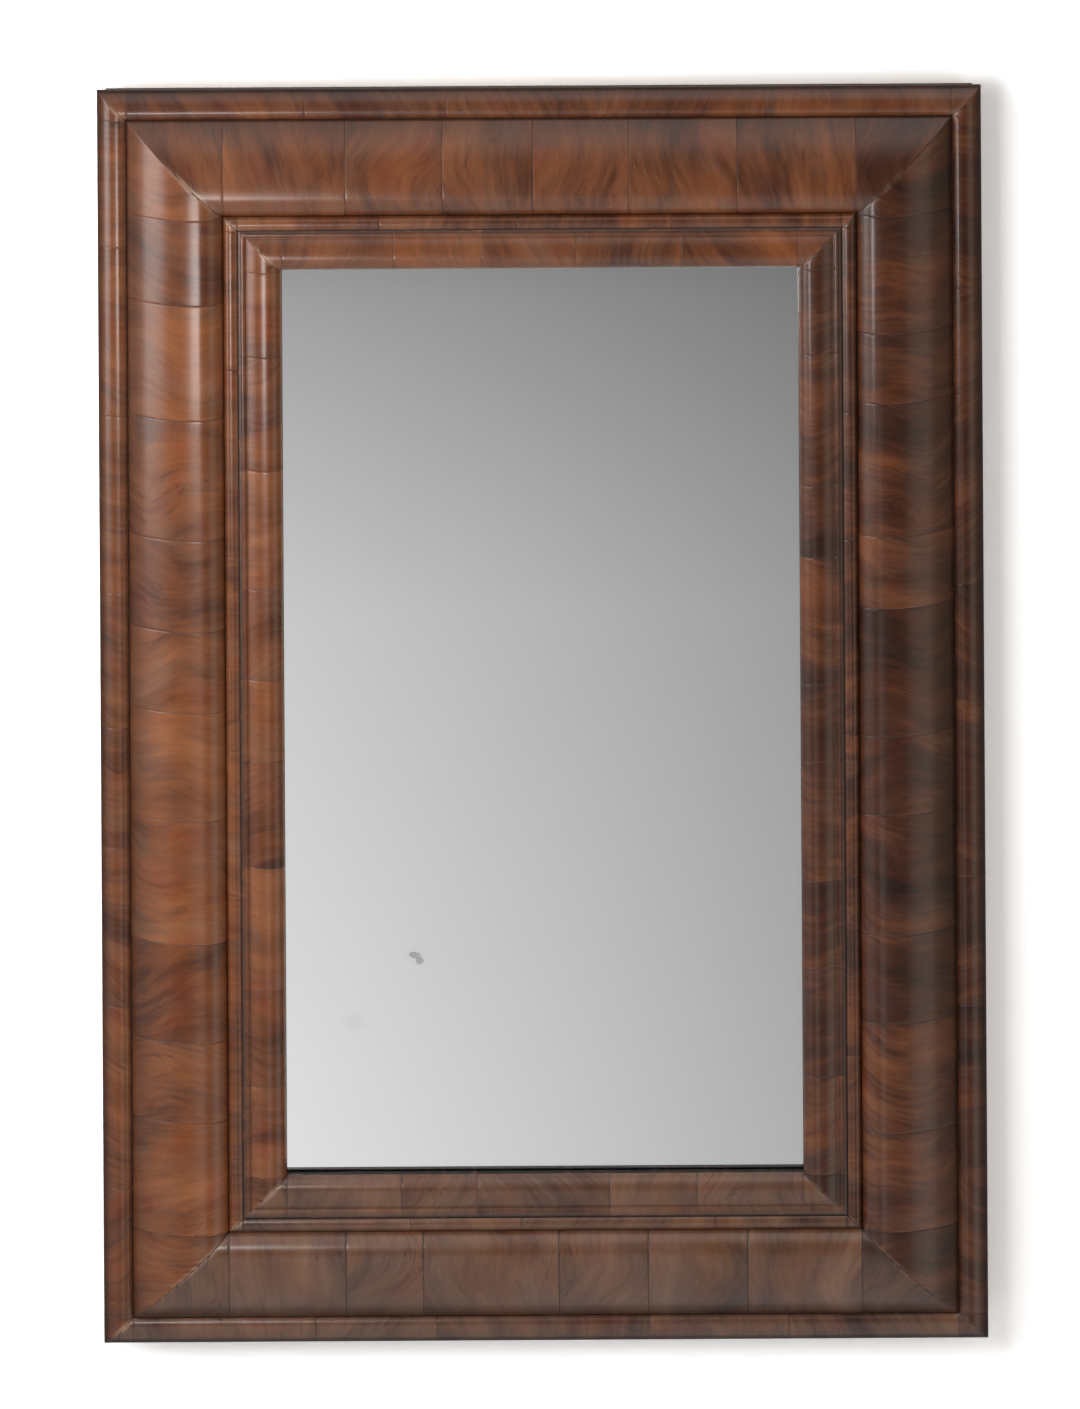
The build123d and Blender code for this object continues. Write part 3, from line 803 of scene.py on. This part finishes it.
# Tone of each section along a side, from the side's start: 0 is near black, 1 is golden. The right
# side's tones sit lower than the left's partly as painted shade.
CUSHION_TONES_AND_PAINTED_SHADE = {
    "bottom": (0.45, 0.48, 0.43, 0.47, 0.50, 0.45, 0.47, 0.42),
    "left": (0.50, 0.53, 0.60, 0.50, 0.58, 0.63, 0.59, 0.62, 0.56, 0.60, 0.58, 0.54),
    "top": (0.46, 0.46, 0.50, 0.53, 0.47, 0.52, 0.48, 0.46),
    "right": (0.40, 0.44, 0.42, 0.47, 0.41, 0.44, 0.38, 0.43, 0.38, 0.42, 0.40, 0.38),
}
NARROW_TONES_AND_PAINTED_SHADE = {
    "bottom": (0.46, 0.43, 0.48, 0.45, 0.49),
    "left": (0.50, 0.56, 0.49, 0.58, 0.52, 0.56),
    "top": (0.48, 0.51, 0.46, 0.50, 0.47),
    "right": (0.40, 0.43, 0.39, 0.44, 0.41),
}


def side_walnuts(stem):
    """One walnut per side: the right is the darkest, partly as painted shade, the foot the dullest.
    """
    side_shades_partly_painted = {"bottom": -0.09, "left": 0.01, "top": 0.01, "right": 0.12}
    dulls = {"bottom": 0.85, "left": 0.0, "top": 0.0, "right": 0.0}
    return {side: walnut(f"{stem}_walnut_{side}", side_shades_partly_painted[side], dulls[side]) for side in SIDES}


class MIRROR_OT_outer_beads(bpy.types.Operator):
    """Make the outer beads from their profile"""

    bl_idname = "mirror.outer_beads"
    bl_label = "Outer beads"

    def execute(self, context):
        lay_moulding("outer_bead", outer_bead_profile(), sizes().outer_bead_section, NARROW_TONES_AND_PAINTED_SHADE,
                     OUTER_BEAD_SHADE_AND_SOIL, seed=11)
        return {"FINISHED"}


class MIRROR_OT_cushions(bpy.types.Operator):
    """Make the four veneered cushions"""

    bl_idname = "mirror.cushions"
    bl_label = "Cushions"

    def execute(self, context):
        lay_moulding("cushion_veneer", cushion_profile(), sizes().cushion_section, CUSHION_TONES_AND_PAINTED_SHADE,
                     CUSHION_SHADE_AND_SOIL, seed=21)
        return {"FINISHED"}


class MIRROR_OT_inner_beads(bpy.types.Operator):
    """Make the narrow inner beads"""

    bl_idname = "mirror.inner_beads"
    bl_label = "Inner beads"

    def execute(self, context):
        lay_moulding("inner_bead", inner_bead_profile(), sizes().inner_bead_section, NARROW_TONES_AND_PAINTED_SHADE,
                     INNER_BEAD_SHADE_AND_SOIL, seed=31)
        return {"FINISHED"}


class MIRROR_OT_sight_mouldings(bpy.types.Operator):
    """Make the sight mouldings that lap over the plate"""

    bl_idname = "mirror.sight_mouldings"
    bl_label = "Sight mouldings"

    def execute(self, context):
        lay_moulding("sight_moulding", sight_profile(), sizes().sight_section, NARROW_TONES_AND_PAINTED_SHADE,
                     SIGHT_SHADE_AND_SOIL, seed=41)
        return {"FINISHED"}


def slab(name, low, high):
    """Closed box between two corners, faces outward."""
    corner = np.array([[x, y, z] for x in (0, 1) for y in (0, 1) for z in (0, 1)], float)
    low, high = np.array(low), np.array(high)
    faces = np.array([
        [0, 1, 3, 2], [4, 6, 7, 5], [0, 4, 5, 1], [2, 3, 7, 6], [0, 2, 6, 4], [1, 5, 7, 3]])
    return new_mesh(name, low + corner * (high - low), [faces], [False])


class MIRROR_OT_plate(bpy.types.Operator):
    """Make the plate of old glass and its silvering"""

    bl_idname = "mirror.plate"
    bl_label = "Plate"

    def execute(self, context):
        low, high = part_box("mirror_glass")
        film = 0.05 * MM
        glass = slab("plate_of_glass", low, (high.x, high.y - film, high.z))
        g = Graph("old_plate_glass")
        shader = g.add("BsdfPrincipled", None, Base_Color=rgba((0.985, 0.99, 0.985)),
                       Roughness=0.0, IOR=1.5)
        shader.inputs["Transmission Weight"].default_value = 1.0
        paint(glass, g.finish(shader.outputs[0]))
        settle(glass, "plate_glass", "mirror_glass")
        low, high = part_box("silvering")
        silver = slab("silvered_back", low, high)
        paint(silver, silvering())
        settle(silver, "silver", "silvering")
        return {"FINISHED"}


def silvering():
    """Old silver: bright, with one small fleck and a faint stain low on the left."""
    g = Graph("old_silvering")
    place = g.add("TexCoord").outputs["Object"]

    def blot(centre, size, edge):
        moved = g.add("Mapping", {"vector_type": "TEXTURE"}, Vector=place,
                      Location=(centre[0], 0, centre[1]), Scale=(size[0], 1, size[1]))
        flat = g.add("VectorMath", {"operation": "MULTIPLY"}, _0=moved.outputs[0], _1=(1, 0, 1))
        away = g.add("VectorMath", {"operation": "LENGTH"}, _0=flat.outputs[0]).outputs["Value"]
        frayed = g.plus(away, g.times(g.noise(place, 260.0), edge))
        return g.inverse(g.step(frayed, 0.75, 1.35))

    fleck = g.math("MAXIMUM", blot((-0.0892, -0.1730), (0.0062, 0.0040), 0.8),
                   blot((-0.0860, -0.1765), (0.0044, 0.0052), 0.8))
    stain = blot((-0.131, -0.222), (0.016, 0.012), 1.2)
    bloom = g.noise(place, 9.0, 3.0)
    silver = g.mix(g.times(g.step(bloom, 0.35, 0.8), 0.06), rgba((0.93, 0.93, 0.93)),
                   rgba((0.80, 0.80, 0.79)))
    silver = g.mix(g.times(stain, 0.12), silver, rgba((0.55, 0.55, 0.53)))
    silver = g.mix(g.times(fleck, 0.15), silver, rgba((0.22, 0.22, 0.21)))
    rough = g.plus(g.times(fleck, 0.4), 0.02)
    shader = g.add("BsdfPrincipled", None, Base_Color=silver, Metallic=1.0, Roughness=rough)
    return g.finish(shader.outputs[0])


class MIRROR_OT_carcass(bpy.types.Operator):
    """Finish the softwood carcass, cores, grounds, blocks and pegs"""

    bl_idname = "mirror.carcass"
    bl_label = "Carcass"

    def execute(self, context):
        tint = back_colours()
        stems = ("carcass_", "cushion_core", "sight_ground", "plate_blocks")
        boards = sorted(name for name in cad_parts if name.startswith(stems))
        for number, name in enumerate(boards):
            long_axis = "z" if name.endswith(("left", "right")) else "x"
            knots = 2 if name.startswith("carcass_") else 0
            board = softwood(f"{name}_pine", long_axis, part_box(name), tint.carcass_wood,
                             tint.carcass_rings, number, knots)
            paint(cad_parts[name], board)
        peg = softwood("peg_oak", "y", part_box("corner_pegs"), tint.peg_wood, tint.peg_rings)
        paint(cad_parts["corner_pegs"], peg)
        return {"FINISHED"}


class MIRROR_OT_backboards(bpy.types.Operator):
    """Finish the three backboards and their nails"""

    bl_idname = "mirror.backboards"
    bl_label = "Backboards"

    def execute(self, context):
        tint = back_colours()
        for number, part in enumerate(("lower", "middle", "upper")):
            name = f"backboard_{part}"
            lift = 1.0 + 0.10 * (number - 1)
            base = [c * lift for c in tint.board_wood]
            board = softwood(f"{name}_pine", "x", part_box(name), base, tint.board_rings,
                             seed=20 + number, knots=2)
            paint(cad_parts[name], board)
        iron = metal("nail_iron", tint.iron, tint.iron_rust, 0.55)
        paint(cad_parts["backboard_nails"], iron)
        return {"FINISHED"}


class MIRROR_OT_hangers(bpy.types.Operator):
    """Finish the strap hangers, their screws and rings"""

    bl_idname = "mirror.hangers"
    bl_label = "Hangers"

    def execute(self, context):
        tint = back_colours()
        brass = metal("dull_brass", tint.brass, tint.brass_tarnish, 0.32)
        for side in ("left", "right"):
            for part in ("strap", "ring", "screws"):
                paint(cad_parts[f"hanger_{part}_{side}"], brass)
        return {"FINISHED"}


# Stage

def light(name, place, aim, size, power, colour=(1, 1, 1)):
    """Area lamp at a place, turned to aim at a point."""
    data = bpy.data.lights.new(name, "AREA")
    data.shape = "RECTANGLE"
    data.size, data.size_y = size
    data.energy = power
    data.color = colour
    lamp = bpy.data.objects.new(name, data)
    lamp.location = place
    lamp.rotation_euler = (Vector(aim) - Vector(place)).to_track_quat("-Z", "Y").to_euler()
    bpy.context.scene.collection.objects.link(lamp)
    return lamp


def seen_white(g, shade, lift, mirrored):
    """A pale shade that takes shadow, lifted by an even glow to white where it is seen.

    Metal and glass see it at a plain level of its own. The glow lights nothing.
    """
    path = g.add("LightPath")
    direct = path.outputs["Is Camera Ray"]
    reflected = g.math("MAXIMUM", path.outputs["Is Glossy Ray"],
                       path.outputs["Is Transmission Ray"])
    glow = g.add("Emission", None, Color=rgba((1, 1, 1)), Strength=g.times(direct, lift))
    flat = g.add("BsdfDiffuse", None, Color=rgba((shade,) * 3))
    shaded = g.add("AddShader", None, _0=flat.outputs[0], _1=glow.outputs[0])
    plain = g.add("Emission", None, Color=rgba((1, 1, 1)), Strength=mirrored)
    shader = g.add("MixShader", None, Fac=reflected, _1=shaded.outputs[0], _2=plain.outputs[0])
    return shader.outputs[0], g.math("MAXIMUM", direct, reflected)


def wall_material():
    """White wall, seen only from its front and only directly or in a reflection."""
    g = Graph("stage_wall")
    shader, seen = seen_white(g, shade=1.75, lift=0.08, mirrored=0.14)
    behind = g.add("NewGeometry").outputs["Backfacing"]
    shown = g.times(seen, g.inverse(behind))
    clear = g.add("BsdfTransparent")
    mixed = g.add("MixShader", None, Fac=shown, _1=clear.outputs[0], _2=shader)
    return g.finish(mixed.outputs[0])


def floor_material():
    """Pale floor, lifted to white where the camera sees it."""
    g = Graph("stage_floor")
    shader, _ = seen_white(g, shade=0.7, lift=0.4, mirrored=0.6)
    return g.finish(shader)


def flat_sheet(name, corners, material):
    """One stage face through four corners."""
    sheet = new_mesh(name, np.array(corners, float), [np.array([[0, 1, 2, 3]])], [False])
    paint(sheet, material)
    return sheet


class MIRROR_OT_stage(bpy.types.Operator):
    """Set up wall, floor, lamps and camera"""

    bl_idname = "mirror.stage"
    bl_label = "Stage"

    def execute(self, context):
        stage = context.scene.mirror_stage
        scene = context.scene
        scene.view_settings.view_transform = "Standard"
        low = stage.floor_drop
        wide, high, behind = 3, 2.5, 0.5 * MM
        flat_sheet("stage_wall", [
            (-wide, behind, low), (wide, behind, low), (wide, behind, high), (-wide, behind, high)],
            wall_material())
        wide = 4
        flat_sheet("stage_floor", [
            (-wide, -wide, low), (wide, -wide, low), (wide, wide, low), (-wide, wide, low)],
            floor_material())
        self.add_room_cards()
        light("window_lamp", place=(-1.42, -0.90, 0.675), aim=(0, -0.90, 0.675),
              size=(0.9, 1.85), power=stage.window_power)
        light("fill_lamp", place=(1.45, -1.20, -0.30), aim=(0, -0.60, -0.10),
              size=(1.0, 1.7), power=stage.fill_power, colour=(1, 0.86, 0.74))
        key = light("key_lamp", place=(-0.65, -1.50, 0.60), aim=(0, 0, 0),
                    size=(0.7, 0.7), power=stage.key_power)
        key.visible_glossy = False
        glint = light("glint_lamp", place=(-0.27, -0.72, 0.10), aim=(-0.27, 0, 0.10),
                      size=(0.15, 0.17), power=stage.glint_power)
        glint.visible_diffuse = False
        light("back_lamp", place=(-0.8, 2.4, 1.2), aim=(0, 0, 0),
              size=(2.0, 2.0), power=stage.back_power)
        scene.world = self.make_world(stage.ambient)
        self.add_camera(stage, scene)
        return {"FINISHED"}

    def make_world(self, ambient):
        """White where it is seen, and a low even light for everything else."""
        world = bpy.data.worlds.new("pale_studio")
        world.use_nodes = True
        tree = world.node_tree
        background = tree.nodes["Background"]
        background.inputs["Color"].default_value = (1, 1, 1, 1)
        path = tree.nodes.new("ShaderNodeLightPath")
        seen = path.outputs["Is Camera Ray"]
        for name in ("Is Glossy Ray", "Is Transmission Ray"):
            either = tree.nodes.new("ShaderNodeMath")
            either.operation = "MAXIMUM"
            tree.links.new(seen, either.inputs[0])
            tree.links.new(path.outputs[name], either.inputs[1])
            seen = either.outputs[0]
        strength = tree.nodes.new("ShaderNodeMapRange")
        strength.inputs["To Min"].default_value = ambient
        strength.inputs["To Max"].default_value = 1.0
        tree.links.new(seen, strength.inputs["Value"])
        tree.links.new(strength.outputs[0], background.inputs["Strength"])
        return world

    def add_room_cards(self):
        """Dim cards in front and on both sides, seen only in reflections, as a room.

        The front card is what the plate shows: it glows low down, less and less to the right.
        Above and beside that patch it is dark, and it fades to pale at its top and far right.
        """
        g = Graph("stage_room")
        place = g.add("TexCoord").outputs["Object"]
        parts = g.add("SeparateXYZ", None, Vector=place)
        across, up = parts.outputs["X"], parts.outputs["Z"]
        rise = g.ramp(g.times(up, -1.0), [
            (0.20, (0.05,) * 3), (0.37, (0.38,) * 3), (0.60, (0.63,) * 3), (1.0, (0.81,) * 3)])
        level = g.minus(0.80, g.times(across, 1.2))
        beside = g.inverse(g.step(across, 0.17, 0.45))
        apart = g.step(across, -0.75, -0.35)
        level = g.times(g.math("MINIMUM", level, 1.1), g.times(beside, apart))
        level = g.math("MAXIMUM", level, 0.05)
        low = g.add("Emission", None, Color=rise, Strength=level)
        edge = g.math("MAXIMUM", g.times(g.step(up, 1.0, 2.6), 0.9),
                      g.times(g.step(across, 1.5, 7.0), 0.15))
        pale = g.add("Emission", None, Color=rgba((1, 1, 1)), Strength=edge)
        both = g.add("AddShader", None, _0=low.outputs[0], _1=pale.outputs[0])
        front, foot, top = -2.0, -1.24, 2.7
        near, far = -1.83, 7.0
        self.add_card("stage_room", [
            (near, front, foot), (near, front, top), (far, front, top), (far, front, foot)],
            g.finish(both.outputs[0]))
        for name, x, shade, strength in (("stage_left", -1.9, (1, 1, 1), 0.36),
                                         ("stage_right", 2.4, (1, 0.72, 0.50), 0.30)):
            g = Graph(name)
            dim = g.add("Emission", None, Color=rgba(shade), Strength=strength)
            self.add_card(name, [
                (x, front, foot), (x, 0.0, foot), (x, 0.0, top), (x, front, top)],
                g.finish(dim.outputs[0]))

    def add_card(self, name, corners, material):
        card = flat_sheet(name, corners, material)
        card.visible_camera = False
        card.visible_diffuse = False
        card.visible_shadow = False

    def add_camera(self, stage, scene):
        """Long view with level rays, from above, turned by the small roll in the picture."""
        data = bpy.data.cameras.new("picture_camera")
        data.type = "ORTHO"
        data.ortho_scale = stage.picture_height * stage.scale
        camera = bpy.data.objects.new("picture_camera", data)
        back = Vector((0, -math.cos(stage.elevation), math.sin(stage.elevation)))
        target = Vector((-0.0017, 0, -0.0031))
        camera.location = target + back * stage.camera_distance
        turn = back.to_track_quat("Z", "Y").to_matrix().to_4x4()
        turn = turn @ Matrix.Rotation(-stage.roll, 4, "Z")
        camera.rotation_euler = turn.to_euler()
        scene.collection.objects.link(camera)
        scene.camera = camera


OPERATORS = (
    MIRROR_OT_outer_beads, MIRROR_OT_cushions, MIRROR_OT_inner_beads, MIRROR_OT_sight_mouldings,
    MIRROR_OT_plate, MIRROR_OT_carcass, MIRROR_OT_backboards, MIRROR_OT_hangers,
    MIRROR_OT_stage,
)


class MIRROR_PT_panel(bpy.types.Panel):
    """Sidebar panel that makes each group of pieces"""

    bl_idname = "MIRROR_PT_panel"
    bl_label = "Cushion frame mirror"
    bl_space_type = "VIEW_3D"
    bl_region_type = "UI"
    bl_category = "Mirror"

    def draw(self, context):
        for operator in OPERATORS:
            self.layout.operator(operator.bl_idname)
        for settings in SETTINGS:
            group = getattr(context.scene, settings)
            for name in group.bl_rna.properties.keys():
                if name not in ("rna_type", "name"):
                    self.layout.prop(group, name)


SETTINGS = {
    "mirror_moulding": MouldingSizes,
    "mirror_walnut": WalnutColours,
    "mirror_figure": WalnutFigure,
    "mirror_back": BackColours,
    "mirror_stage": StageSizes,
}


def register():
    for kind in (*SETTINGS.values(), *OPERATORS, MIRROR_PT_panel):
        bpy.utils.register_class(kind)
    for name, kind in SETTINGS.items():
        setattr(bpy.types.Scene, name, bpy.props.PointerProperty(type=kind))


def unregister():
    for name in SETTINGS:
        delattr(bpy.types.Scene, name)
    for kind in (MIRROR_PT_panel, *OPERATORS, *SETTINGS.values()):
        bpy.utils.unregister_class(kind)


def main():
    register()
    for operator in OPERATORS:
        group, call = operator.bl_idname.split(".")
        getattr(getattr(bpy.ops, group), call)()


if __name__ == "__main__":
    main()
